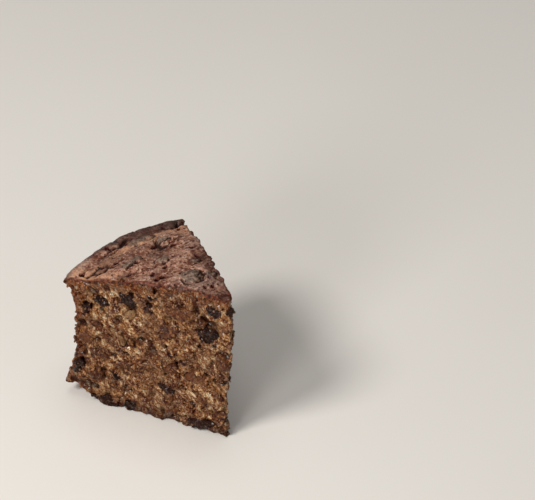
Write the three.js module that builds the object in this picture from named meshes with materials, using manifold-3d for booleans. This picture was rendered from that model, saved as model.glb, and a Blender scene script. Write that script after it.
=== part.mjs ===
import * as THREE from "three";
import { ImprovedNoise } from "three/addons/math/ImprovedNoise.js";
import { mergeVertices } from "three/addons/utils/BufferGeometryUtils.js";
import Module from "manifold-3d";

// A slice of rich fruit cake, left as it was cut. A wrinkled, domed crust tops it, two rough cut faces
// meet at the middle of the cake, the baked side stands at the back, and the base is flat.
// Millimetres, +Z up. The tip points to -Y and the baked side to +Y.

// The wedge, whose tip leans out above the middle, between two shares of the height
const CAKE_RADIUS = 76;
const SLICE_ANGLE = THREE.MathUtils.degToRad(52);
const TIP_Y = -36.6;
const TIP_WIDTH = 2.2;
const TIP_ROUND = 0.7;
const TIP_LEAN = 3;
const LEAN_FROM = 0.3;
const LEAN_TO = 0.75;

// The dome, and the baked side with its waist and lip at shares of the height
const CENTRE_HEIGHT = 75;
const RIM_HEIGHT = 61;
const WAIST_DEPTH = 6;
const WAIST_LEVEL = 0.66;
const WAIST_SPREAD_BELOW = 0.56;
const WAIST_SPREAD_ABOVE = 0.45;
const LIP_REACH = 2.6;
const LIP_LEVEL = 0.97;
const LIP_SPREAD = 0.04;

// The base, flat in the middle and lifted under the baked side
const BASE_LIFT = 5.7;
const BASE_CUT = 3;
const LIFT_FROM = 50;
const LIFT_TO = 73;

// Relief of the crust, the cut faces and the baked side
const FOLD_HEIGHT = 2.4;
const FOLD_LENGTH = 13;
const FOLD_WIDTH = 6.5;
const PUCKER_HEIGHT = 1.1;
const PUCKER_SIZE = 5;
const RIM_ROLL = 1.3;
const RIM_ROLL_WIDTH = 4;
const CRAG_HEIGHT = 1.4;
const CRAG_SIZE = 7.5;
const GRAIN_HEIGHT = 0.8;
const GRAIN_SIZE = 3.8;
const SIDE_RELIEF = 0.7;

// How finely the surface is divided
const STEPS_ACROSS = 16;
const STEPS_ALONG = 31;
const STEPS_UP = 28;

// Fruit that shows in the left cut face: distance from the tip, height, length, width and turn
const FRUIT_AT_LEFT_CUT = [
  [57.5, 55.7, 9, 6, 20],
  [44.9, 60.8, 9, 7, -30],
  [33.6, 65.4, 9, 3.5, 15],
  [64.4, 48.4, 6, 8, 10],
  [69.4, 16.4, 5.5, 10, -12],
  [61.0, 15.0, 9, 6, 15],
  [9.3, 52.1, 10, 8, -25],
  [1.9, 40.2, 6, 10, 0],
  [6.7, 66.6, 8, 6, 0],
  [54.5, 2.6, 9, 6, 0],
  [44.4, 3.6, 5, 7, 0],
  [10.5, 3.8, 13, 6, 5],
  [27.2, 17.8, 8, 5.5, -20],
  [44.7, 24.1, 14, 5.5, 8],
  [26.6, 48.8, 6.5, 12, -35],
];

// Fruit that lifts the crust: distance from the tip, degrees from the middle, lengths across and along
const FRUIT_UNDER_CRUST = [
  [19.8, -5.6, 9, 10.5],
  [40.3, 0.2, 7, 6],
  [63.1, 4.3, 14, 6],
  [69.5, 20, 7, 6],
  [15.5, 12, 6, 6],
];

// Fruit in the other two upright faces, drawn at random with one piece to each cell
const FRUIT_CELL = 19;
const FRUIT_LENGTH_MIN = 6.5;
const FRUIT_LENGTH_MAX = 11;
const FRUIT_FLATNESS = 0.62;
const FRUIT_SEED = 7;

// Every fruit's thickness, how deep its middle is sunk, and how far its skin is shrivelled
const FRUIT_DEPTH = 5;
const FRUIT_SUNK = 1.5;
const FRUIT_WRINKLE = 0.5;

const { abs, cos, sin, hypot, exp, max } = Math;
const { smoothstep, lerp, degToRad, seededRandom } = THREE.MathUtils;
const perlin = new ImprovedNoise();

// Height of the crust above the level of the base, at a distance from the tip
function domeHeight(distance) {
  return lerp(CENTRE_HEIGHT, RIM_HEIGHT, (distance / CAKE_RADIUS) ** 2);
}

// Radius of the baked side, drawn in at the waist and swollen at the crust's lip
function sideRadius(up) {
  const spread = up < WAIST_LEVEL ? WAIST_SPREAD_BELOW : WAIST_SPREAD_ABOVE;
  const waist = WAIST_DEPTH * max(0, 1 - ((up - WAIST_LEVEL) / spread) ** 2);
  return CAKE_RADIUS - waist + LIP_REACH * exp(-(((up - LIP_LEVEL) / LIP_SPREAD) ** 2));
}

// Folds run across the slice, puckered all over, with a rolled edge along the baked side
function crustRelief(x, y) {
  const distance = hypot(x, y - TIP_Y);
  const folds = FOLD_HEIGHT * perlin.noise(x / FOLD_LENGTH, y / FOLD_WIDTH, 0.5);
  const pucker = PUCKER_HEIGHT * perlin.noise(x / PUCKER_SIZE, y / PUCKER_SIZE, 3.5);
  const roll = RIM_ROLL * exp(-(((CAKE_RADIUS - distance) / RIM_ROLL_WIDTH - 1) ** 2));
  return folds + pucker + roll;
}

function crumbRelief(p) {
  const crags = perlin.noise(p.x / CRAG_SIZE, p.y / CRAG_SIZE, p.z / CRAG_SIZE);
  const grain = perlin.noise(p.x / GRAIN_SIZE, p.y / GRAIN_SIZE, p.z / GRAIN_SIZE);
  return CRAG_HEIGHT * crags + GRAIN_HEIGHT * grain;
}

// Outward direction of a cut face, on the left with side -1 and on the right with side 1
function cutNormal(side) {
  return new THREE.Vector3(side * cos(SLICE_ANGLE / 2), -sin(SLICE_ANGLE / 2), 0);
}

// A point in plan: across from -1 to 1, along from the tip at 0 to the side at 1, up from 0 to 1
function planPoint(across, along, up) {
  const angle = (across * SLICE_ANGLE) / 2;
  const distance = along * sideRadius(up);
  const tipBulge = TIP_ROUND * (1 - across ** 2) + TIP_LEAN * smoothstep(up, LEAN_FROM, LEAN_TO);
  const x = distance * sin(angle) + (across * (1 - along) * TIP_WIDTH) / 2;
  const y = TIP_Y + distance * cos(angle) - (1 - along) * tipBulge;
  return new THREE.Vector3(x, y, 0);
}

function cutPoint(side, fromTip, height) {
  const up = height / domeHeight(fromTip);
  return planPoint(side, fromTip / sideRadius(up), up).setZ(height);
}

// A point of the wedge's surface, with the relief of each face it lies on
function wedgePoint(across, along, up) {
  const angle = (across * SLICE_ANGLE) / 2;
  const distance = along * sideRadius(up);
  const base = lerp(-BASE_CUT, BASE_LIFT, smoothstep(distance, LIFT_FROM, LIFT_TO));
  const p = planPoint(across, along, up).setZ(lerp(base, domeHeight(distance), up));
  const relief = new THREE.Vector3();
  const sideways = new THREE.Vector3(sin(angle), cos(angle), 0);
  if (abs(across) === 1) relief.addScaledVector(cutNormal(across), crumbRelief(p));
  if (along === 0) relief.y -= crumbRelief(p);
  if (along === 1) relief.addScaledVector(sideways, SIDE_RELIEF * crumbRelief(p));
  if (up === 1) relief.z += crustRelief(p.x, p.y);
  return p.add(relief);
}

// The crumb and its crust, as a divided block bent to the wedge
function wedgeGeometry() {
  const block = new THREE.BoxGeometry(2, 1, 1, STEPS_ACROSS, STEPS_ALONG, STEPS_UP);
  const at = block.getAttribute("position");
  for (let i = 0; i < at.count; i++) {
    const p = wedgePoint(at.getX(i), at.getY(i) + 0.5, at.getZ(i) + 0.5);
    at.setXYZ(i, p.x, p.y, p.z);
  }
  return block;
}

// One shrivelled fruit, lying in the surface at a point with its thickness along the outward direction
function fruitGeometry(point, outward, length, width, turn) {
  const oval = new THREE.IcosahedronGeometry(0.5, 1);
  const at = oval.getAttribute("position");
  for (let i = 0; i < at.count; i++) {
    const p = new THREE.Vector3().fromBufferAttribute(at, i);
    const q = p.clone().multiplyScalar(3).add(point);
    p.multiplyScalar(1 + FRUIT_WRINKLE * perlin.noise(q.x, q.y, q.z));
    at.setXYZ(i, p.x, p.y, p.z);
  }
  oval.scale(length, width, FRUIT_DEPTH);
  oval.rotateZ(degToRad(turn));
  const level = abs(outward.z) > 0.9 ? new THREE.Vector3(0, 1, 0) : new THREE.Vector3(0, 0, 1);
  const right = new THREE.Vector3().crossVectors(level, outward).normalize();
  const rise = new THREE.Vector3().crossVectors(outward, right);
  const place = new THREE.Matrix4().makeBasis(right, rise, outward);
  oval.applyMatrix4(place.setPosition(point.clone().addScaledVector(outward, -FRUIT_SUNK)));
  return oval;
}

function leftCutFruit() {
  return FRUIT_AT_LEFT_CUT.map(([fromTip, height, length, width, turn]) =>
    fruitGeometry(cutPoint(-1, fromTip, height), cutNormal(-1), length, width, turn));
}

function crustFruit() {
  const up = new THREE.Vector3(0, 0, 1);
  return FRUIT_UNDER_CRUST.map(([distance, degrees, length, width]) => {
    const angle = degToRad(degrees);
    const x = distance * sin(angle);
    const y = TIP_Y + distance * cos(angle);
    const point = new THREE.Vector3(x, y, domeHeight(distance) + crustRelief(x, y));
    return fruitGeometry(point, up, length, width, -degrees);
  });
}

// Fruit scattered over a face of the given width and height
function scatteredFruit(faceWidth, faceHeight, placeAt) {
  const columns = Math.floor(faceWidth / FRUIT_CELL);
  const rows = Math.floor(faceHeight / FRUIT_CELL);
  const fruit = [];
  for (let row = 0; row < rows; row++) {
    for (let column = 0; column < columns; column++) {
      const across = ((column + lerp(0.2, 0.8, seededRandom())) * faceWidth) / columns;
      const height = ((row + lerp(0.2, 0.8, seededRandom())) * faceHeight) / rows;
      const length = lerp(FRUIT_LENGTH_MIN, FRUIT_LENGTH_MAX, seededRandom());
      const { point, outward } = placeAt(across, height);
      fruit.push(fruitGeometry(point, outward, length, length * FRUIT_FLATNESS, 180 * seededRandom()));
    }
  }
  return fruit;
}

function rightCutFruit() {
  return scatteredFruit(CAKE_RADIUS - 2 * WAIST_DEPTH, RIM_HEIGHT, (across, height) => {
    return { point: cutPoint(1, across, height), outward: cutNormal(1) };
  });
}

function sideFruit() {
  const sideWidth = CAKE_RADIUS * SLICE_ANGLE - FRUIT_LENGTH_MAX;
  const sideHeight = RIM_HEIGHT - 2 * FRUIT_LENGTH_MAX;
  return scatteredFruit(sideWidth, sideHeight, (across, above) => {
    const angle = (across - sideWidth / 2) / CAKE_RADIUS;
    const height = above + FRUIT_LENGTH_MAX;
    const outward = new THREE.Vector3(sin(angle), cos(angle), 0);
    const point = outward.clone().multiplyScalar(sideRadius(height / RIM_HEIGHT));
    return { point: point.add(new THREE.Vector3(0, TIP_Y, height)), outward };
  });
}

const wasm = await Module();
wasm.setup();

function solidFrom(geometry) {
  geometry.deleteAttribute("normal");
  geometry.deleteAttribute("uv");
  const skin = mergeVertices(geometry);
  const vertProperties = skin.getAttribute("position").array;
  const triVerts = new Uint32Array(skin.index.array);
  return new wasm.Manifold(new wasm.Mesh({ numProp: 3, vertProperties, triVerts }));
}

function geometryFrom(solid) {
  const { vertProperties, triVerts } = solid.getMesh();
  const geometry = new THREE.BufferGeometry();
  geometry.setAttribute("position", new THREE.BufferAttribute(vertProperties, 3));
  geometry.setIndex(new THREE.BufferAttribute(triVerts, 1));
  geometry.computeVertexNormals();
  return geometry;
}

// The fruit is baked into the crumb, and one level cut takes off the underside of both
seededRandom(FRUIT_SEED);
const fruit = [...leftCutFruit(), ...crustFruit(), ...rightCutFruit(), ...sideFruit()];
const baked = wasm.Manifold.union([wedgeGeometry(), ...fruit].map(solidFrom));
const below = new THREE.BoxGeometry(3 * CAKE_RADIUS, 3 * CAKE_RADIUS, CAKE_RADIUS);
below.translate(0, 0, -CAKE_RADIUS / 2);

const crumbBrown = new THREE.MeshStandardMaterial({ color: 0x6c4933, roughness: 0.75, metalness: 0 });
const cakeSlice = new THREE.Mesh(geometryFrom(baked.subtract(solidFrom(below))), crumbBrown);
cakeSlice.name = "cake_slice";

const slice = new THREE.Group();
slice.name = "fruit_cake_slice";
slice.add(cakeSlice);

export default slice;
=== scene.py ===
import bpy
import numpy as np
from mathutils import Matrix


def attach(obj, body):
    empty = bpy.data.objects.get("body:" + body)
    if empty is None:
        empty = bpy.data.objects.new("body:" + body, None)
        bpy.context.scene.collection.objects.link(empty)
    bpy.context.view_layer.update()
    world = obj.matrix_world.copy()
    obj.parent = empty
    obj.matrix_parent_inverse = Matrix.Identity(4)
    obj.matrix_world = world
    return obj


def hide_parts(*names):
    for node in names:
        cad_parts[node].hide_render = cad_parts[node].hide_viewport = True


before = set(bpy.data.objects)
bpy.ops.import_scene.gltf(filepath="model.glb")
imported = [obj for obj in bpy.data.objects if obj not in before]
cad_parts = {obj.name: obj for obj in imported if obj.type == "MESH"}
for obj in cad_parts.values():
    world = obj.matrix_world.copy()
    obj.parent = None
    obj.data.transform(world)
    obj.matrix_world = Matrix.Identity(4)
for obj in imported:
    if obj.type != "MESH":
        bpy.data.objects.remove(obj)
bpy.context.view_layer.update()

import openvdb
from mathutils import Vector

# The cut wedge
# The slice was cut with a knife from a round cake that rose to a dome as it baked. The crust hangs over
# the baked side, which shrank in at the waist, and the base is lifted a little under that side.
MM = 0.001
CAKE_RADIUS = 76.0
HALF_ANGLE = np.radians(26)
TIP_Y = -36.6
TIP_WIDTH = 2.2
TIP_ROUND = 0.7
TIP_LEAN = 3.0
LEAN_FROM = 0.3
LEAN_TO = 0.75
CENTRE_HEIGHT = 75.0
RIM_HEIGHT = 61.0
WAIST_DEPTH = 6.0
WAIST_LEVEL = 0.66
WAIST_SPREAD_BELOW = 0.56
WAIST_SPREAD_ABOVE = 0.45
LIP_REACH = 2.6
LIP_LEVEL = 0.97
LIP_SPREAD = 0.04
BASE_LIFT = 5.7
BASE_CUT = 3
LIFT_FROM = 50
LIFT_TO = 73
GRID_LOW = (-40.0, -46.0, -3.0)
GRID_SIZE = (80.0, 92.0, 84.0)
VOXEL = 0.42
FAR = 9.0
EDGE_ROUND = 0.9
TORN_EDGE_ROUND = 0.6
KNIFE_DRAG = 0.3
NOISE_CELLS = 32

rng = np.random.default_rng(26)
slopes = rng.normal(size=(NOISE_CELLS, NOISE_CELLS, NOISE_CELLS, 3)).astype(np.float32)
slopes /= np.linalg.norm(slopes, axis=-1, keepdims=True)
grains = rng.random((NOISE_CELLS, NOISE_CELLS, NOISE_CELLS, 3)).astype(np.float32)


def smoothstep(start, end, x):
    """0 up to the start and 1 from the end on, with a smooth rise between them."""
    t = np.clip((x - start) / (end - start), 0, 1)
    return t * t * (3 - 2 * t)


def soft_max(a, b, blend):
    """The larger of two distances, rounded where they meet."""
    h = np.clip(blend - np.abs(a - b), 0, None) / blend
    return np.maximum(a, b) + h * h * blend / 4


def hills(x, y, z, size, seed=0):
    """Smooth random relief between about -1 and 1, with features of the given size."""
    p = np.stack(np.broadcast_arrays(x, y, z), -1).astype(np.float32) / size + seed * 7.31
    cell = np.floor(p).astype(np.int32)
    p -= cell
    fade = p * p * p * (p * (p * 6 - 15) + 10)
    total = np.zeros(p.shape[:-1], np.float32)
    for corner in np.ndindex(2, 2, 2):
        at = (cell + np.array(corner, np.int32)) % NOISE_CELLS
        slope = slopes[at[..., 0], at[..., 1], at[..., 2]]
        share = np.prod(np.where(corner, fade, 1 - fade), axis=-1)
        total += share * ((p - np.array(corner, np.float32)) * slope).sum(-1)
    return total * 1.6


def pebbles(x, y, z, size, seed=0):
    """Rounded grains of the given size, 1 at the middle and about 0 where they meet."""
    p = np.stack(np.broadcast_arrays(x, y, z), -1).astype(np.float32) / size + seed * 3.17
    cell = np.floor(p).astype(np.int32)
    nearest = np.full(p.shape[:-1], FAR, np.float32)
    for step in np.ndindex(3, 3, 3):
        corner = cell + np.array(step, np.int32) - 1
        at = corner % NOISE_CELLS
        seat = grains[at[..., 0], at[..., 1], at[..., 2]]
        nearest = np.minimum(nearest, ((p - corner - seat) ** 2).sum(-1))
    return 1 - nearest


def dome_height(distance):
    return CENTRE_HEIGHT + (RIM_HEIGHT - CENTRE_HEIGHT) * (distance / CAKE_RADIUS) ** 2


def side_radius(up):
    spread = np.where(up < WAIST_LEVEL, WAIST_SPREAD_BELOW, WAIST_SPREAD_ABOVE)
    waist = WAIST_DEPTH * np.clip(1 - ((up - WAIST_LEVEL) / spread) ** 2, 0, None)
    return CAKE_RADIUS - waist + LIP_REACH * np.exp(-((up - LIP_LEVEL) / LIP_SPREAD) ** 2)


def wedge_distances(x, y, z):
    """How far points lie outside the plain crust, baked side, base and cuts, in mm."""
    distance = np.hypot(x, y - TIP_Y)
    dome = dome_height(distance)
    up = z / dome
    radius = side_radius(up)
    near_tip = 1 - np.clip(distance / radius, 0, 1)
    lean = TIP_LEAN * smoothstep(LEAN_FROM, LEAN_TO, up) * near_tip
    inward = y - TIP_Y + lean
    cut = np.cos(HALF_ANGLE) * (np.abs(x) - TIP_WIDTH / 2 * near_tip) - np.sin(HALF_ANGLE) * inward
    rise = -BASE_CUT + (BASE_LIFT + BASE_CUT) * smoothstep(LIFT_FROM, LIFT_TO, distance)
    base = np.maximum(rise, 0) - z
    return z - dome, distance - radius, base, np.maximum(cut, -inward - TIP_ROUND)


low = np.array(GRID_LOW)
counts = (np.array(GRID_SIZE) / VOXEL).astype(int)
axes = [low[i] + VOXEL * np.arange(counts[i]) for i in range(3)]
grid_x, grid_y, grid_z = (a.astype(np.float32) for a in np.meshgrid(*axes, indexing="ij", sparse=True))
crust, side, base, cut = (np.array(np.broadcast_to(gap, counts), np.float32)
                          for gap in wedge_distances(grid_x, grid_y, grid_z))

# The crust set in folds across the slice, with creases between them, pits where steam came out, fruit
# that lifts it, and a roll along the rim. Fruit and pits are given by distance from the tip and degrees.
crust_fruit = [(19.8, -5.6, 9, 10.5), (40.3, 0.2, 6.5, 5.5), (63.1, 4.3, 14, 5.5), (69.0, 20.5, 7, 6),
               (15.5, 13, 6, 6), (50.6, -11, 12, 4), (56, 12, 6, 4), (30, 15, 5, 4)]
crust_pits = [(49.2, 13.8), (53.3, 5.7), (57.5, -12.8), (34.5, -6.3), (35.2, -19.1), (61.1, -16.8),
              (46.2, -20.5), (41.1, 21), (56.6, -15.9), (30.7, -18.4), (67.2, -23.5), (31.7, -22.8)]
large_pits = len(crust_pits)
SMALL_PITS = 24
crust_pits += [(rng.uniform(8, 72), rng.uniform(-24, 24)) for _ in range(SMALL_PITS)]


def crust_place(distance, degrees):
    return distance * np.sin(np.radians(degrees)), TIP_Y + distance * np.cos(np.radians(degrees))


flat_x, flat_y = grid_x[:, :, 0] + 0 * grid_y[:, :, 0], grid_y[:, :, 0] + 0 * grid_x[:, :, 0]
from_tip = np.hypot(flat_x, flat_y - TIP_Y)
from_rim = CAKE_RADIUS - from_tip
turned = np.degrees(np.arctan2(flat_x, flat_y - TIP_Y))
crust_rise = 1.2 * hills(flat_x * 0.6, flat_y, 0, 8, 5) + 0.3 * hills(flat_x * 0.8, flat_y, 0, 3.6, 8)
crust_rise += 0.16 * hills(flat_x, flat_y, 0, 1.7, 9) + 0.16 * (pebbles(flat_x, flat_y, 0, 1.5, 5) - 0.5)
crease = np.exp(-(hills(flat_x * 0.42, flat_y, 0, 5.0, 6) / 0.08) ** 2)
crease *= smoothstep(0.05, 0.45, hills(flat_x, flat_y, 0, 13, 7))
valley = np.exp(-((from_rim - 8.5 - 3 * hills(flat_x, flat_y, 0, 9, 3)) / 1.2) ** 2)
valley *= smoothstep(-0.2, 0.15, hills(flat_x, flat_y, 0, 12, 10)) * smoothstep(-0.3, 0.0, flat_x / from_tip)
notch = np.exp(-(turned + 0.5) ** 2) * smoothstep(9, 2, from_rim)
crust_rise += 0.9 * np.exp(-(from_rim / 4 - 1) ** 2) - 1.6 * notch - 1.2 * crease - 1.8 * valley
at_tip = smoothstep(32, 8, from_tip)
tip_lumps = 1.3 * hills(flat_x, flat_y, 0, 5, 11) + 1.2 * (pebbles(flat_x, flat_y, 0, 3.2, 3) - 0.5)
crust_rise += at_tip * tip_lumps
lifted, ringed = np.zeros_like(crust_rise), np.zeros_like(crust_rise)
for distance, degrees, length, width in crust_fruit:
    x, y = crust_place(distance, degrees)
    c, s = np.cos(np.radians(degrees)), np.sin(np.radians(degrees))
    dx = flat_x - x + 1.6 * hills(flat_x, flat_y, 0, 4, 21)
    dy = flat_y - y + 1.3 * hills(flat_x, flat_y, 0, 3.4, 23)
    q = np.hypot((dx * c - dy * s) / length, (dx * s + dy * c) / width) * 2
    ring = np.exp(-((q - 1.1) / 0.14) ** 2) * smoothstep(-0.4, 0.2, hills(flat_x, flat_y, 0, 5, 22))
    crust_rise += 1.0 * np.sqrt(np.clip(1 - q * q, 0, None)) - 0.9 * ring
    lifted = np.maximum(lifted, smoothstep(1.1, 0.8, q))
    ringed = np.maximum(ringed, ring)
# Where the pits lie, for their own red and the painted shade in them.
pitted = np.zeros_like(crust_rise)
for n, (distance, degrees) in enumerate(crust_pits):
    x, y = crust_place(distance, degrees)
    length, width = (2.8, 2.0) if n < large_pits else rng.uniform(0.9, 2.2, 2)
    q = np.hypot((flat_x - x) / length, (flat_y - y + 0.5 * hills(flat_x, flat_y, 0, 2, n)) / width) * 2
    crust_rise -= (2.2 if n < large_pits else 1.2) * smoothstep(1.2, 0.4, q)
    pitted = np.maximum(pitted, smoothstep(1.3, 0.9, q))
crust -= crust_rise[:, :, None]
plain = soft_max(soft_max(soft_max(crust, side, 3.0), cut, EDGE_ROUND), base, EDGE_ROUND).astype(np.float32)


def near_face(face, reach):
    """The points in the layer where a face's relief can show."""
    layer = (np.abs(face) < reach) & (plain < reach)
    return (layer, *(np.broadcast_to(g, plain.shape)[layer] for g in (grid_x, grid_y, grid_z)))


stroke = np.array([np.sin(HALF_ANGLE), np.cos(HALF_ANGLE), 1.0]) / np.sqrt(2)


def dragged(x, y, z):
    """Places on the cuts drawn together along the knife's stroke, which lengthens what is laid on them."""
    along = KNIFE_DRAG * (np.abs(x) * stroke[0] + (y - TIP_Y) * stroke[1] + z * stroke[2])
    return x - np.sign(x) * along * stroke[0], y - along * stroke[1], z - along * stroke[2]


# The knife tore the crumb into crags and grains, with open pores between them
layer, x, y, z = near_face(cut, 3.4)
torn = smoothstep(0.2, 0.6, hills(x, y, z, 5.5, 4))
pores = smoothstep(0.6, 0.95, pebbles(x, y, z, 2.9, 6)) * smoothstep(-0.1, 0.25, hills(x, y, z, 7, 14))
pulled = dragged(x, y, z)
crumbly = 0.4 + 0.9 * smoothstep(-0.2, 0.3, hills(x, y, z, 10, 17))
cut[layer] -= 1.0 * hills(x, y, z, 8, 1) + 0.9 * hills(*pulled, 3.2, 2) - 1.4 * torn - 1.1 * pores
cut[layer] -= crumbly * (0.9 * (pebbles(*pulled, 2.6, 1) - 0.5) + 0.7 * hills(*pulled, 1.5, 3))

# The side baked against lining paper, so its skin is closed, with the paper's upright creases and dimples
layer, x, y, z = near_face(side, 2.5)
side[layer] -= 0.6 * hills(x, y, z * 0.6, 9, 12) + 0.6 * hills(x, y, z * 0.15, 4.5, 18)
side[layer] -= 0.5 * hills(x, y, z, 2.6, 13) + 0.5 * (pebbles(x, y, z, 2.4, 4) - 0.5)
slice_field = soft_max(soft_max(crust, side, 2.5), cut, TORN_EDGE_ROUND)
slice_field = soft_max(slice_field, base, TORN_EDGE_ROUND).astype(np.float32)

# Dried fruit
# Raisins, currants and sultanas were stirred through the batter, so the knife went through some and left
# others standing out. They are soft, dark and sticky, with shrivelled skins.
FRUIT_SUNK = 0.4
FRUIT_DEPTH = 4
POCKET_DEPTH = 2.2
FLOOR_GAP = 0.05
LARGE_AT_LEFT = 8
LARGE_AT_RIGHT = 24
LARGE_SPACING = 9.5
SMALL_AT_CUT = 40
SMALL_SPACING = 5
AT_SIDE = 22
SIDE_SPACING = 6


class Fruit:
    """One kind of fruit as a field of distances, filled in piece by piece."""

    def __init__(self):
        self.field = np.full(plain.shape, FAR, np.float32)
        self.tone = np.zeros(plain.shape, np.float32)

    def press_in(self, middle, outward, length, width, turn, proud, shrivel):
        """Lays one fruit in the surface, cut off where it stands too proud, and opens a pocket round it."""
        outward = np.array(outward, float)
        right = np.cross([0, 0, 1.0], outward)
        right /= np.linalg.norm(right)
        rise = np.cross(outward, right)
        c, s = np.cos(np.radians(turn)), np.sin(np.radians(turn))
        lie = np.array([c * right + s * rise, c * rise - s * right, outward])
        radii = np.array([length, width, min(length, width) * 0.85 + 1]) / 2
        middle = middle - outward * FRUIT_SUNK * radii[2]
        reach = radii.max() + 3
        first = np.clip(((middle - reach - low) / VOXEL).astype(int), 0, counts)
        last = np.clip(((middle + reach - low) / VOXEL).astype(int) + 2, 0, counts)
        block = tuple(slice(a, b) for a, b in zip(first, last))
        x, y, z = np.meshgrid(*(axes[i][block[i]] for i in range(3)), indexing="ij")
        bent = [1.7 * hills(x, y, z, 4.2, 31 + i) + 0.7 * hills(x, y, z, 1.7, 41 + i) for i in range(3)]
        bent = np.stack(bent, -1) * shrivel
        local = (np.stack([x, y, z], -1) - middle + bent) @ lie.T
        ratio = np.linalg.norm(local / radii, axis=-1)
        body = ratio * (ratio - 1) / (np.linalg.norm(local / radii ** 2, axis=-1) + 1e-6)
        wrinkle = np.abs(hills(x, y, z, 2.4, 35))
        body = body + shrivel * 1.1 * wrinkle
        flush = plain[block] - proud - 0.8 + 1.2 * hills(x, y, z, 2.8, 36) * shrivel + 0.9 * wrinkle
        hidden = np.maximum(FLOOR_GAP - z, -FRUIT_DEPTH - plain[block])
        piece = np.maximum(soft_max(body, flush, TORN_EDGE_ROUND), hidden).astype(np.float32)
        self.tone[block] = np.where(piece < self.field[block], rng.random(), self.tone[block])
        self.field[block] = np.minimum(self.field[block], piece)
        pocket = np.minimum(-(body + 0.15 + 0.7 * hills(x, y, z, 2.3, 37)), plain[block] + POCKET_DEPTH)
        slice_field[block] = np.maximum(slice_field[block], pocket.astype(np.float32))


def cut_place(mirror, distance, height):
    """A point on a plain cut face, with its outward direction."""
    up = height / dome_height(distance)
    near_tip = 1 - distance / side_radius(up)
    lean = TIP_LEAN * smoothstep(LEAN_FROM, LEAN_TO, up) * near_tip
    x = distance * np.sin(HALF_ANGLE) + TIP_WIDTH / 2 * near_tip
    y = TIP_Y + distance * np.cos(HALF_ANGLE) - lean
    return np.array([mirror * x, y, height]), (mirror * np.cos(HALF_ANGLE), -np.sin(HALF_ANGLE), 0)


# Fruit in the left cut: kind, distance from the tip, height, length, width, turn and how proud it stands
raisin, sultana, peel = Fruit(), Fruit(), Fruit()
left_cut = [
    (raisin, 57.5, 55.7, 9, 6, 20, 0.1), (raisin, 44.9, 60.8, 9.5, 7.5, -30, 0.3),
    (raisin, 33.6, 65.4, 10, 3.5, 15, 0.0), (raisin, 35.9, 58.3, 4.5, 4, 0, 0.2),
    (raisin, 64.4, 48.4, 6, 7, 10, 0.0), (raisin, 69.4, 16.4, 5.5, 10, -12, 0.3),
    (sultana, 61.0, 15.0, 10, 6.5, 15, 0.3), (raisin, 9.3, 52.1, 11, 9, -25, 0.0),
    (sultana, 1.9, 40.2, 6.5, 10, 0, 0.9), (raisin, 6.7, 66.6, 8, 6, 0, 0.0),
    (raisin, -0.5, 67.8, 4, 5, 0, 1.4), (raisin, 54.5, 2.2, 10, 5.5, 0, 0.6),
    (raisin, 44.4, 3.0, 5.5, 7, 0, 0.4), (raisin, 10.5, 3.6, 14, 6.5, 5, 0.3),
    (raisin, 27.2, 17.8, 8.5, 5.5, -20, 0.0), (sultana, 44.7, 24.1, 15, 5, 8, 0.2),
    (sultana, 26.6, 48.8, 6.5, 13, -35, 0.1), (raisin, 51.6, 17.1, 3, 7, 20, 0.2),
    (peel, 20.5, 45.0, 7.5, 1.9, -48, 0.7), (peel, 43.9, 51.9, 5.5, 4.5, 20, 0.1),
    (peel, 50.1, 39.0, 10.5, 4.2, -50, 0.3), (sultana, 65.3, 34.9, 7, 8, 0, 0.3),
    (sultana, 58.9, 42.3, 8, 5.5, -40, 0.2),
]
for kind, distance, height, length, width, turn, proud in left_cut:
    kind.press_in(*cut_place(-1, distance, height), length, width, turn, proud, 0.7 if kind is peel else 1.0)


def scatter(count, spacing, draw, kept):
    """Places drawn one by one, each kept only if it is clear of the others."""
    spots = []
    for _ in range(count * 30):
        spot = draw()
        if len(spots) < count and all(np.linalg.norm(spot[0] - other) > spacing for other in kept):
            kept.append(spot[0])
            spots.append(spot)
    return spots


def somewhere_on_cut(mirror):
    def draw():
        height = rng.uniform(1, 70)
        return cut_place(mirror, rng.uniform(1, 69 if height < 60 else 50), height)
    return draw


def somewhere_on_side():
    angle, height = rng.uniform(-1, 1) * (HALF_ANGLE - 0.05), rng.uniform(9, 56)
    outward = np.array([np.sin(angle), np.cos(angle), 0])
    return outward * side_radius(height / RIM_HEIGHT) + np.array([0, TIP_Y, height]), outward


measured = [cut_place(-1, row[1], row[2])[0] for row in left_cut]
for mirror, large, taken in ((-1, LARGE_AT_LEFT, measured), (1, LARGE_AT_RIGHT, [])):
    for spot in scatter(large, LARGE_SPACING, somewhere_on_cut(mirror), taken):
        kind = raisin if rng.random() < 0.62 and mirror > 0 else sultana
        length = rng.uniform(6.5, 12)
        width, turn, proud = length * rng.uniform(0.45, 0.75), rng.uniform(-60, 60), rng.uniform(-0.2, 0.5)
        kind.press_in(*spot, length, width, turn, proud, 1.0)
    for spot in scatter(SMALL_AT_CUT, SMALL_SPACING, somewhere_on_cut(mirror), taken):
        kind = (raisin, sultana, peel)[np.searchsorted((0.16, 0.93), rng.random())]
        length = rng.uniform(2.6, 5.5)
        width, turn, proud = length * rng.uniform(0.4, 0.8), rng.uniform(0, 180), rng.uniform(-0.1, 0.6)
        kind.press_in(*spot, length, width, turn, proud, 0.6)
for spot in scatter(AT_SIDE, SIDE_SPACING, somewhere_on_side, []):
    length = rng.uniform(2.5, 10)
    kind = raisin if rng.random() < 0.6 else sultana
    width, turn, proud = length * rng.uniform(0.4, 0.8), rng.uniform(-80, 80), rng.uniform(-0.7, 0.2)
    kind.press_in(*spot, length, width, turn, proud, 1.0)


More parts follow.
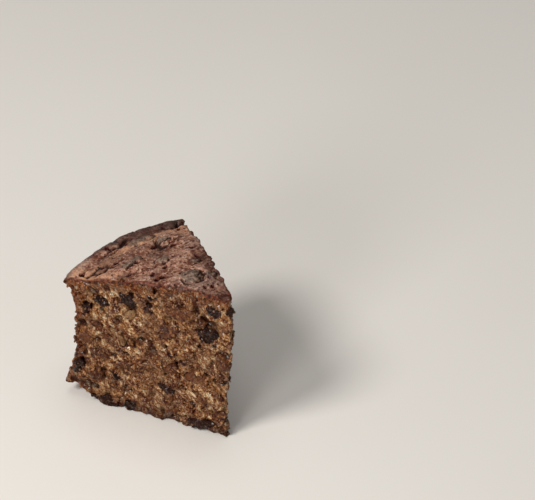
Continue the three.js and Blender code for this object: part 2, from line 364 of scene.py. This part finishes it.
def mesh_piece(name, field, adaptivity):
    """The surface where a field of distances is zero, as a closed mesh in metres."""
    grid = openvdb.FloatGrid(FAR)
    grid.copyFromArray(np.ascontiguousarray(field, np.float32))
    points, triangles, quads = grid.convertToPolygons(isovalue=0.0, adaptivity=adaptivity)
    points = points * VOXEL + low
    corners = np.concatenate([triangles[:, ::-1].ravel(), quads[:, ::-1].ravel()]).astype(np.int32)
    starts = np.concatenate([3 * np.arange(len(triangles)), 3 * len(triangles) + 4 * np.arange(len(quads))])
    mesh = bpy.data.meshes.new(name)
    mesh.vertices.add(len(points))
    mesh.vertices.foreach_set("co", (points * MM).astype(np.float32).ravel())
    mesh.loops.add(len(corners))
    mesh.loops.foreach_set("vertex_index", corners)
    mesh.polygons.add(len(starts))
    mesh.polygons.foreach_set("loop_start", starts.astype(np.int32))
    mesh.update(calc_edges=True)
    mesh.shade_smooth()
    piece = bpy.data.objects.new(name, mesh)
    bpy.context.collection.objects.link(piece)
    return piece, points.astype(np.float32)


class Socket:
    """A node's output that takes part in Python expressions, where each operator adds a Math node."""

    def __init__(self, tree, socket):
        self.tree, self.socket = tree, socket

    def node(self, kind, settings=None, output=0, **inputs):
        """Adds a node, with its settings first and then its sockets, by name or as i0, i1 and so on."""
        made = self.tree.nodes.new(kind)
        for key, value in (settings or {}).items():
            if key == "stops":
                ramp = made.color_ramp
                while len(ramp.elements) < len(value):
                    ramp.elements.new(1.0)
                for element, (at, colour) in zip(ramp.elements, value):
                    element.position, element.color = at, colour
            else:
                setattr(made, key, value)
        for key, value in inputs.items():
            numbered = key[0] == "i" and key[1:].isdigit()
            slot = made.inputs[int(key[1:]) if numbered else key.replace("_", " ")]
            if isinstance(value, Socket):
                self.tree.links.new(value.socket, slot)
            else:
                slot.default_value = value
        return Socket(self.tree, made.outputs[output])

    def maths(self, operation, a, b=0.0):
        return self.node("ShaderNodeMath", {"operation": operation}, i0=a, i1=b)

    def __add__(self, other): return self.maths("ADD", self, other)
    def __radd__(self, other): return self.maths("ADD", other, self)
    def __sub__(self, other): return self.maths("SUBTRACT", self, other)
    def __rsub__(self, other): return self.maths("SUBTRACT", other, self)
    def __mul__(self, other): return self.maths("MULTIPLY", self, other)
    def __rmul__(self, other): return self.maths("MULTIPLY", other, self)

    def read(self, name):
        return self.node("ShaderNodeAttribute", {"attribute_name": name}, "Fac")

    def between(self, low_end, high_end):
        return self.node("ShaderNodeMapRange", {"interpolation_type": "SMOOTHSTEP"}, Value=self,
                         From_Min=low_end, From_Max=high_end)

    def mix(self, a, b):
        return self.node("ShaderNodeMix", {"data_type": "RGBA"}, 2, i0=self, i6=a, i7=b)

    def noise(self, size_mm, detail, roughness=0.5):
        return self.node("ShaderNodeTexNoise", Vector=self, Scale=1 / (size_mm * MM), Detail=detail,
                         Roughness=roughness)

    def cells(self, size_mm, feature="F1", output=0):
        return self.node("ShaderNodeTexVoronoi", {"feature": feature}, output, Vector=self,
                         Scale=1 / (size_mm * MM))

    def bent(self, size_mm, amount_mm):
        shift = self.node("ShaderNodeTexNoise", None, 1, Vector=self, Scale=1 / (size_mm * MM), Detail=1.0)
        by = (amount_mm * MM,) * 3
        return self.node("ShaderNodeVectorMath", {"operation": "MULTIPLY_ADD"}, i0=shift, i1=by, i2=self)

    def axis(self, index):
        return self.node("ShaderNodeSeparateXYZ", None, index, Vector=self)


def srgb(r, g, b):
    """A colour as seen on a screen, in the shader's linear terms."""
    values = np.array([r, g, b]) / 255
    linear = np.where(values <= 0.04045, values / 12.92, ((values + 0.055) / 1.055) ** 2.4)
    return (*linear.tolist(), 1.0)


def new_material(name):
    material = bpy.data.materials.new(name)
    material.use_nodes = True
    tree = material.node_tree
    shader = tree.nodes["Principled BSDF"]
    place = Socket(tree, None).node("ShaderNodeTexCoord", output="Object")
    return material, tree, shader, place


def connect(tree, shader, **inputs):
    for key, value in inputs.items():
        tree.links.new(value.socket, shader.inputs[key.replace("_", " ")])


SHEETS_SIZE = 244
TIP_MARGIN = 3
HALF_WIDTH = 36
HALF_LENGTH = 43


def lay_flat(piece):
    """Lays a piece out flat, a sheet for each face of the slice and smaller ones for what looks inward."""
    mesh = piece.data
    corners, sides = np.empty(len(mesh.loops), np.int32), np.empty(len(mesh.polygons), np.int32)
    middles, facing = np.empty((len(sides), 3), np.float32), np.empty((len(sides), 3), np.float32)
    points = np.empty((len(mesh.vertices), 3), np.float32)
    mesh.loops.foreach_get("vertex_index", corners)
    mesh.polygons.foreach_get("loop_total", sides)
    mesh.polygons.foreach_get("center", middles.ravel())
    mesh.polygons.foreach_get("normal", facing.ravel())
    mesh.vertices.foreach_get("co", points.ravel())
    x, y, z = (middles / MM).T
    top, side, base, cut = wedge_distances(x, y, z)
    face = np.argmax([cut, top, side, base], axis=0) + 1
    face[(face == 1) & (x < 0)] = 0
    angle = np.arctan2(x, y - TIP_Y)
    sign = np.sign(x)
    off_cut = facing[:, 0] * sign * np.cos(HALF_ANGLE) - facing[:, 1] * np.sin(HALF_ANGLE)
    off_side = facing[:, 0] * np.sin(angle) + facing[:, 1] * np.cos(angle)
    outward = np.choose(face, [off_cut, off_cut, facing[:, 2], off_side, -facing[:, 2]])
    inward = outward < 0
    x, y, z = (points[corners] / MM).T
    face, inward = np.repeat(face, sides), np.repeat(inward, sides)
    along = np.abs(x) * np.sin(HALF_ANGLE) + (y - TIP_Y) * np.cos(HALF_ANGLE) + TIP_MARGIN
    around = np.arctan2(x, y - TIP_Y) * CAKE_RADIUS + HALF_WIDTH
    sheet_x = np.choose(face, [along, along, x + HALF_WIDTH, around, x + HALF_WIDTH])
    sheet_y = np.choose(face, [z, z, y + HALF_LENGTH, z, y + HALF_LENGTH])
    sheet = np.stack([sheet_x, sheet_y], 1)
    starts = np.array([(0, 0), (84, 0), (0, 82), (168, 0), (74, 82)])
    small_starts = np.array([(150, 86), (194, 86), (150, 128), (150, 172), (190, 128)])
    sheet = np.where(inward[:, None], sheet * 0.5 + small_starts[face], sheet + starts[face])
    sheet = (sheet / SHEETS_SIZE).astype(np.float32)
    mesh.uv_layers.new(name="OFBake").uv.foreach_set("vector", sheet.ravel())


def dress(piece, material):
    piece.data.materials.append(material)
    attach(piece, "root")


def paint(piece, **layers):
    """Stores one number at each point of a piece for its material to read."""
    for name, values in layers.items():
        layer = piece.data.attributes.new(name, "FLOAT", "POINT")
        layer.data.foreach_set("value", np.ascontiguousarray(values, np.float32))


def within(points, values):
    """The values of the grid at the points of a piece."""
    return values[tuple(np.clip(np.rint((points - low) / VOXEL).astype(int), 0, counts - 1).T)]


def fruit_piece(name, fruit, dark, flesh, bright, rough, smeared):
    """All the fruit of one kind, with a wet, wrinkled skin that is smeared with crumb here and there."""
    piece, points = mesh_piece(name, fruit.field, 0.05)
    paint(piece, tone=within(points, fruit.tone))
    lay_flat(piece)
    material, tree, shader, place = new_material(name + "_skin")
    patch, skin, wrinkle = place.noise(2.5, 3), place.noise(0.8, 4, 0.6), place.noise(1.3, 3, 0.65)
    colour = (place.read("tone").between(0.3, 1.0) * 0.55 + patch.between(0.35, 0.65) * 0.45).mix(dark, flesh)
    colour = (skin.between(0.54, 0.72) * 0.6).mix(colour, bright)
    smear = place.bent(1.5, 1.0).noise(2.2, 4, 0.7).between(0.53, 0.58) * smeared
    colour = smear.mix(colour, skin.between(0.4, 0.6).mix(srgb(98, 54, 29), srgb(172, 124, 78)))
    bump = place.node("ShaderNodeBump", Height=wrinkle + skin * 0.2, Strength=1.0, Distance=0.0014)
    wet = place.noise(1.0, 3, 0.6).between(0.52, 0.62)
    connect(tree, shader, Base_Color=colour, Roughness=0.3 + skin.between(0.3, 0.7) * rough,
            Coat_Weight=wet * (1 - smear * 0.6), Normal=bump)
    shader.inputs["Specular IOR Level"].default_value = 0.1
    shader.inputs["Coat Roughness"].default_value = 0.1
    dress(piece, material)
    return piece, points


raisin_piece, raisin_points = fruit_piece(
    "raisins", raisin, srgb(20, 6, 4), srgb(46, 18, 11), srgb(90, 52, 32), rough=0.2, smeared=0.1)
sultana_piece, sultana_points = fruit_piece(
    "sultanas", sultana, srgb(56, 20, 12), srgb(108, 64, 37), srgb(142, 100, 64), rough=0.25, smeared=0.65)
fruit_piece(
    "peel_chips", peel, srgb(118, 82, 52), srgb(160, 126, 90), srgb(196, 170, 136), rough=0.35, smeared=0.4)

# Crust
# The skin that baked dark and tough on top, a millimetre or two thick. It set in puckers with steam pits,
# and the rim behind its crease is almost burnt. Its creases, pits, pinholes and low places carry painted
# shade, its raised parts a painted grey sheen and its left end a painted highlight.
CRUST_THICKNESS = 1.6
PIECE_EDGE_ROUND = 0.3
crust_piece, points = mesh_piece(
    "cake_crust", soft_max(slice_field, -CRUST_THICKNESS - crust, PIECE_EDGE_ROUND), 0.02)
lay_flat(crust_piece)


def column(points, flat_map):
    """The value of a map of the top at each point below it."""
    index = np.rint((points[:, :2] - low[:2]) / VOXEL).astype(int)
    return flat_map[np.clip(index[:, 0], 0, counts[0] - 1), np.clip(index[:, 1], 0, counts[1] - 1)]


ragged = from_rim + 3.5 * hills(flat_x, flat_y, 0, 7, 15)
band = 4 + 7 * smoothstep(-10, 4, turned)
burnt = smoothstep(band + 2, band - 2, ragged) * (0.8 + 0.2 * smoothstep(-20, -8, turned))
corner = smoothstep(14, 24, turned + 8 * hills(flat_x, flat_y, 0, 9, 16)) * smoothstep(60, 20, from_tip)
burnt = np.maximum(burnt, np.maximum(0.7 * corner, 0.6 * smoothstep(18, 6, from_tip)))
# A lighter toasted band inside the crease, and the left end of the top, where a painted highlight goes.
toasted = np.exp(-((ragged - 14) / 2.5) ** 2) + smoothstep(-18, -24, turned) * smoothstep(40, 60, from_tip)
# Creases, the valley by the rim, the notch and the rings round lifted fruit, where painted shade goes.
creased = np.max([valley, crease, notch, ringed], axis=0)
maps = {"rise": crust_rise, "lifted": lifted, "pitted": pitted,
        "burnt": burnt, "toasted": toasted, "creased": creased}
paint(crust_piece, **{name: column(points, flat_map) for name, flat_map in maps.items()})
top_gap, side_gap, _, cut_gap = wedge_distances(*points.T)
top_gap = top_gap - column(points, crust_rise)
paint(crust_piece, on_cut=smoothstep(-1.0, 0.2, cut_gap - np.maximum(top_gap, side_gap)))

material, tree, shader, place = new_material("baked_crust")
broad, patchy = place.noise(13, 2), place.noise(4.0, 3)
fine, speck = place.noise(1.3, 3, 0.6), place.noise(0.7, 2)
pinholes = place.bent(1.2, 0.6).cells(2.2).between(0.26, 0.14) * place.cells(2.2, "F1", 1).between(0.42, 0.5)
colour = patchy.between(0.32, 0.66).mix(srgb(112, 64, 46), srgb(180, 134, 112))
colour = (broad.between(0.52, 0.66) * 0.5).mix(colour, srgb(84, 44, 32))
# Raised parts of the crust are painted lighter and greyer: a painted sheen.
colour = (place.read("rise").between(0.2, 1.4) * 0.5).mix(colour, srgb(184, 154, 138))
colour = (fine.between(0.53, 0.63) * 0.7).mix(colour, srgb(206, 173, 153))
colour = (fine.between(0.47, 0.36) * 0.7).mix(colour, srgb(74, 35, 25))
colour = (speck.between(0.57, 0.66) * 0.7).mix(colour, srgb(60, 26, 18))
# The toasted band is painted lighter, and the left end is painted lighter as a painted highlight.
colour = (place.read("toasted") * 0.45).mix(colour, srgb(198, 150, 124))
colour = (speck.between(0.5, 0.38) * place.read("toasted") * 0.7).mix(colour, srgb(210, 154, 104))
over_fruit = fine.between(0.42, 0.6).mix(srgb(66, 52, 42), srgb(120, 104, 90))
colour = (place.read("lifted") * 0.7).mix(colour, over_fruit)
colour = (place.read("burnt") * (1.1 - 0.6 * patchy)).mix(colour, srgb(52, 23, 17))
# Low places in the crust are painted dark: painted shade.
colour = (place.read("rise").between(-0.2, -1.3) * 0.85).mix(colour, srgb(46, 16, 11))
# The pinholes are painted dark: painted shade in the holes.
colour = (pinholes * 0.85).mix(colour, srgb(50, 16, 11))
# Creases, valleys, the notch and the rings round lifted fruit are painted near black: painted shade.
colour = (place.read("creased").between(0.2, 0.8) * 0.8).mix(colour, srgb(26, 9, 6))
# The pits are painted dark red: painted shade in the pits over their own red.
colour = (place.read("pitted") * 0.95).mix(colour, srgb(62, 9, 5))
cut_edge = fine.between(0.4, 0.6).mix(srgb(52, 16, 9), srgb(108, 50, 30))
colour = (place.read("on_cut") * 0.9).mix(colour, cut_edge)
bump = place.node("ShaderNodeBump", Height=fine + speck * 0.7 - pinholes * 0.7, Strength=1.0, Distance=0.0006)
shine = place.noise(2.2, 3, 0.6).between(0.35, 0.62)
sheen = place.read("rise").between(-0.2, 1.2) * (1 - place.read("burnt") * 0.7)
connect(tree, shader, Base_Color=colour, Roughness=0.3 + shine * 0.3, Coat_Weight=sheen * 0.5, Normal=bump)
shader.inputs["Specular IOR Level"].default_value = 0.14
shader.inputs["Coat Roughness"].default_value = 0.38
dress(crust_piece, material)
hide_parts("cake_slice")

# Crumb
# Dense, moist crumb the colour of caramel, redder near the crust and where fruit juice soaked in. It is
# made of sticky grains, with painted shade in the gaps between them and in the hollows of the cut faces,
# and its side and base baked to a thin brown skin.
CRUST_OVERLAP = 0.3
below_crust = crust + (CRUST_THICKNESS - CRUST_OVERLAP)
crumb_piece, points = mesh_piece("cake_crumb", soft_max(slice_field, below_crust, PIECE_EDGE_ROUND), 0.5)
lay_flat(crumb_piece)
fruit_gap = within(points, np.minimum(np.minimum(raisin.field, sultana.field), peel.field))
top_gap, side_gap, base_gap, cut_gap = wedge_distances(*points.T)
skin = np.maximum(side_gap, base_gap)
paint(crumb_piece, baked=-np.maximum(top_gap, side_gap), below=-top_gap, level=points[:, 2], sunk=cut_gap,
      stain=np.exp(-np.clip(fruit_gap, 0, None) / 1.1),
      skin=smoothstep(-1.2, -0.4, skin) * smoothstep(0.2, -0.8, cut_gap - skin))

material, tree, shader, place = new_material("moist_crumb")
broad, fine, speck = place.noise(9, 2), place.noise(1.2, 3, 0.6), place.noise(0.55, 2)
x, y, z = (place.axis(i) for i in range(3))
sway, run, drop = stroke.tolist()
along = KNIFE_DRAG * (x.maths("ABSOLUTE", x) * sway + (y - TIP_Y * MM) * run + z * drop)
pulled = place.node("ShaderNodeCombineXYZ", X=x - x.maths("SIGN", x) * along * sway, Y=y - along * run,
                    Z=z - along * drop).bent(1.6, 1.1)
coarse, medium = pulled.noise(4.0, 5, 0.62), pulled.noise(1.35, 4, 0.65)
edge, tone = pulled.cells(1.6, "DISTANCE_TO_EDGE"), pulled.cells(1.6, "F1", 1)
grain = coarse * 0.4 + medium * 0.5 + tone * 0.1
stops = ((0.37, srgb(50, 14, 7)), (0.44, srgb(94, 45, 23)), (0.49, srgb(136, 83, 46)),
         (0.54, srgb(180, 132, 84)), (0.6, srgb(228, 202, 164)))
colour = grain.node("ShaderNodeValToRGB", {"stops": stops}, Fac=grain)
stops = ((0.38, srgb(64, 27, 15)), (0.5, srgb(106, 63, 37)), (0.62, srgb(146, 104, 70)))
moist = coarse.node("ShaderNodeValToRGB", {"stops": stops}, Fac=coarse * 0.8 + medium * 0.2)
golden = place.noise(17, 2).between(0.48, 0.6) * medium.between(0.4, 0.5)
colour = (golden * 0.4).mix(colour, srgb(174, 116, 60))
colour = (broad.between(0.47, 0.6) * 0.75).mix(colour, moist)
colour = (speck.between(0.57, 0.67) * 0.65).mix(colour, srgb(44, 12, 6))
colour = (speck.between(0.42, 0.33) * 0.5).mix(colour, srgb(222, 190, 150))
under_crust = fine.between(0.42, 0.58).mix(srgb(42, 11, 5), srgb(136, 73, 38))
colour = (place.read("baked").between(9, 1) * 0.75).mix(colour, under_crust)
colour = (place.read("level").between(8, 1) * 0.8).mix(colour, srgb(50, 20, 10))
colour = (place.read("stain").between(0.35, 1.0) * 0.7).mix(colour, srgb(62, 20, 12))
# Painted shade in the gaps between the grains.
colour = (edge.between(0.1, 0.01) * 0.4).mix(colour, srgb(44, 14, 8))
# Hollows below the cut are painted dark: painted shade.
colour = (place.read("sunk").between(-0.3, -1.8) * 0.85).mix(colour, srgb(38, 10, 5))
skin_colour = place.noise(5, 5, 0.6).between(0.36, 0.62).mix(srgb(70, 33, 21), srgb(138, 84, 54))
skin_colour = (fine.between(0.55, 0.68) * 0.5).mix(skin_colour, srgb(166, 112, 74))
skin_colour = (speck.between(0.55, 0.66) * 0.7).mix(skin_colour, srgb(46, 20, 12))
skin_colour = (place.read("stain").between(0.3, 1.0) * 0.6).mix(skin_colour, srgb(56, 24, 15))
skin_colour = (place.read("below").between(9, 1) * 0.7).mix(skin_colour, srgb(62, 31, 21))
colour = place.read("skin").mix(colour, skin_colour)
height = fine + speck * 0.6 + edge.between(0, 0.2) * 0.25
bump = place.node("ShaderNodeBump", Height=height, Strength=1.0, Distance=0.0012)
shine = place.noise(2.2, 3, 0.6).between(0.35, 0.62)
wet = medium.between(0.5, 0.6) * 0.9
connect(tree, shader, Base_Color=colour, Roughness=0.3 + shine * 0.4, Coat_Weight=wet, Normal=bump)
shader.inputs["Specular IOR Level"].default_value = 0.1
shader.inputs["Coat Roughness"].default_value = 0.14
dress(crumb_piece, material)
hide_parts("cake_slice")

# Loose crumbs
# Small crumbs that the knife rubbed off and that stuck again to the moist cut faces and their edges, most of
# them on the crumb and a few on the fruit. Each is a lump of twelve corners, squashed and turned its own way.
CRUMB_COUNT = 2400
GOLDEN_RATIO = 1.618
signs = ((1, GOLDEN_RATIO), (1, -GOLDEN_RATIO), (-1, GOLDEN_RATIO), (-1, -GOLDEN_RATIO))
ball = np.array([corner for a, b in signs for corner in ((0, a, b), (a, b, 0), (b, 0, a))]) / 1.9
gaps = np.linalg.norm(ball[:, None] - ball[None], axis=-1)
sides = np.array([(i, j, k) for i, j, k in np.ndindex(12, 12, 12) if i < j and i < k and j != k
                  and max(gaps[i, j], gaps[j, k], gaps[k, i]) < 1.2
                  and np.dot(np.cross(ball[j] - ball[i], ball[k] - ball[i]), ball[i]) > 0])
seats, lifts = [], []
for piece, at, share in ((crumb_piece, points, 0.92), (raisin_piece, raisin_points, 0.04),
                         (sultana_piece, sultana_points, 0.04)):
    normals = np.empty(len(at) * 3, np.float32)
    piece.data.vertex_normals.foreach_get("vector", normals)
    outer = np.flatnonzero((wedge_distances(*at.T)[3] > -0.9) & (at[:, 2] > 0.8))
    chosen = rng.choice(outer, int(CRUMB_COUNT * share), replace=False)
    seats.append(at[chosen])
    lifts.append(normals.reshape(-1, 3)[chosen])
seats, lifts = np.concatenate(seats), np.concatenate(lifts)
CRUMB_COUNT = len(seats)
size = 0.3 + 0.55 * rng.random(CRUMB_COUNT) ** 3
turns = np.linalg.qr(rng.normal(size=(CRUMB_COUNT, 3, 3)))[0]
turns *= np.sign(np.linalg.det(turns))[:, None, None]
lumpy = ball[None] * (1 + 0.3 * rng.uniform(-1, 1, (CRUMB_COUNT, 12, 1)))
lumpy = lumpy * rng.uniform(0.7, 1.3, (CRUMB_COUNT, 1, 3))
centres = seats + lifts * (0.2 * size)[:, None]
corners = np.einsum("nij,nvj->nvi", turns, lumpy) * size[:, None, None] + centres[:, None]
corners[..., 2] = np.maximum(corners[..., 2], FLOOR_GAP)
mesh = bpy.data.meshes.new("clinging_crumbs")
faces = (sides[None] + 12 * np.arange(CRUMB_COUNT)[:, None, None]).reshape(-1, 3)
mesh.from_pydata((corners.reshape(-1, 3) * MM).tolist(), [], faces.tolist())
mesh.shade_smooth()
crumbs = bpy.data.objects.new("clinging_crumbs", mesh)
bpy.context.collection.objects.link(crumbs)
paint(crumbs, tone=np.repeat(rng.random(CRUMB_COUNT), 12))
per_row = int(np.ceil(np.sqrt(CRUMB_COUNT)))
cells = np.stack(np.divmod(np.arange(CRUMB_COUNT), per_row), 1)[:, None] + 0.5 + 0.3 * ball[None, :, :2]
cells = cells[:, sides.ravel()] / per_row
mesh.uv_layers.new(name="OFBake").uv.foreach_set("vector", cells.astype(np.float32).ravel())
material, tree, shader, place = new_material("loose_crumb")
tone, fine = place.read("tone"), place.noise(0.5, 2)
colour = tone.mix(srgb(66, 30, 17), srgb(158, 108, 66))
colour = (fine.between(0.45, 0.65) * 0.5).mix(colour, srgb(112, 68, 42))
bump = place.node("ShaderNodeBump", Height=fine, Strength=0.8, Distance=0.0004)
connect(tree, shader, Base_Color=colour, Roughness=0.25 + fine * 0.4, Normal=bump)
dress(crumbs, material)

# Floor, light and camera
# A pale table under two soft lamps, one high on the left and one overhead, with a weaker one at the front
# left, and a long lens at the height of someone standing.
floor_mesh = bpy.data.meshes.new("floor")
floor_mesh.from_pydata([(-3, -3, 0), (3, -3, 0), (3, 3, 0), (-3, 3, 0)], [], [(0, 1, 2, 3)])
floor = bpy.data.objects.new("floor", floor_mesh)
bpy.context.collection.objects.link(floor)
material, tree, shader, place = new_material("pale_floor")
connect(tree, shader, Base_Color=place.noise(180, 3).mix(srgb(226, 222, 216), srgb(232, 229, 224)))
shader.inputs["Roughness"].default_value = 0.6
floor_mesh.materials.append(material)

MIDDLE = Vector((0, 0, 0.035))
IMAGE_WIDTH = 535
FOCAL_PIXELS = 3192.5


def soft_lamp(name, place_at, size, power, colour):
    lamp = bpy.data.lights.new(name, "AREA")
    lamp.shape, lamp.size, lamp.energy, lamp.color = "DISK", size, power, colour
    made = bpy.data.objects.new(name, lamp)
    made.location = place_at
    made.rotation_euler = (MIDDLE - Vector(place_at)).to_track_quat("-Z", "Y").to_euler()
    bpy.context.collection.objects.link(made)


soft_lamp("key", (-0.85, 0.05, 1.0), 0.4, 11, (1.0, 0.97, 0.93))
soft_lamp("overhead", (0.1, 0.1, 1.4), 1.0, 5, (1.0, 0.98, 0.96))
soft_lamp("fill", (-1.1, -0.45, 0.5), 0.4, 6, (1.0, 0.98, 0.96))
world = bpy.data.worlds.new("studio")
world.use_nodes = True
background = world.node_tree.nodes["Background"]
background.inputs["Color"].default_value = (1.0, 0.97, 0.93, 1)
background.inputs["Strength"].default_value = 0.15
bpy.context.scene.world = world
bpy.context.scene.view_settings.view_transform = "Standard"

lens = bpy.data.cameras.new("camera")
lens.lens = FOCAL_PIXELS / IMAGE_WIDTH * lens.sensor_width
lens.clip_start, lens.clip_end = 0.05, 20
camera = bpy.data.objects.new("camera", lens)
camera.location = (-0.67710, -0.84029, 0.87068)
camera.rotation_euler = Vector((0.52936, 0.60746, -0.59225)).to_track_quat("-Z", "Y").to_euler()
bpy.context.collection.objects.link(camera)
bpy.context.scene.camera = camera
